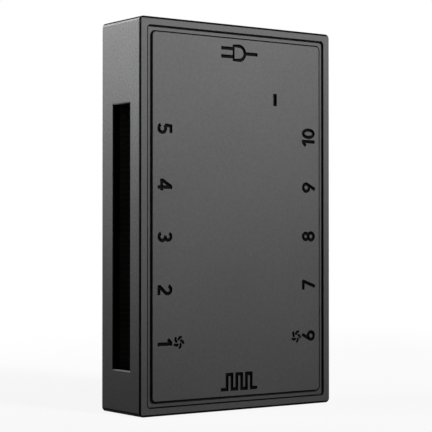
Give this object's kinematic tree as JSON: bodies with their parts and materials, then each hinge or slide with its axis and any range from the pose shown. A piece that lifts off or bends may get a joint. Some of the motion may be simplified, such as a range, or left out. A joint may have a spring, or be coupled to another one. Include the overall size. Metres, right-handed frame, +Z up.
{
  "type": "fan controller hub",
  "caption": "Slim black box hub that shares power and speed control among computer fans, with numbered port rows behind long side slots and inputs in its two ends.",
  "frame": {"origin": "centre of the bottom end, on the surface that the hub stands on", "axes": "+X to the right seen from the front, +Y from the numbered front to the flat back, +Z up along the long side"},
  "size_m": [0.055, 0.0164, 0.09],
  "materials": {
    "case_plastic": "fine moulded texture, black",
    "header_plastic": "plain black moulding",
    "contact_gold": "thin gold plating",
    "board_mask": "black solder mask on glass laminate",
    "screw_steel": "black zinc",
    "clear_plastic": "clear acrylic",
    "lamp_body": "milky resin",
    "chip_mould": "moulded epoxy",
    "tinned_leads": "bright tin",
    "can_aluminium": "drawn can",
    "ceramic_body": "fired ceramic"
  },
  "bodies": {
    "root": {"bulk_capacitors": "can_aluminium", "capacitor_bases": "header_plastic", "case_screws": "screw_steel", "ceramic_capacitors": "ceramic_body", "chip_resistors": "chip_mould", "circuit_board": "board_mask", "control_header": "header_plastic", "control_pins": "contact_gold", "driver_chip": "chip_mould", "driver_chip_leads": "tinned_leads", "fan_header_1": "header_plastic", "fan_header_10": "header_plastic", "fan_header_2": "header_plastic", "fan_header_3": "header_plastic", "fan_header_4": "header_plastic", "fan_header_5": "header_plastic", "fan_header_6": "header_plastic", "fan_header_7": "header_plastic", "fan_header_8": "header_plastic", "fan_header_9": "header_plastic", "fan_pins_1": "contact_gold", "fan_pins_10": "contact_gold", "fan_pins_2": "contact_gold", "fan_pins_3": "contact_gold", "fan_pins_4": "contact_gold", "fan_pins_5": "contact_gold", "fan_pins_6": "contact_gold", "fan_pins_7": "contact_gold", "fan_pins_8": "contact_gold", "fan_pins_9": "contact_gold", "front_shell": "case_plastic", "light_pipe": "clear_plastic", "power_contacts": "contact_gold", "power_socket": "header_plastic", "rear_cover": "case_plastic", "resettable_fuse": "chip_mould", "status_led": "lamp_body"}
  },
  "joints": []
}
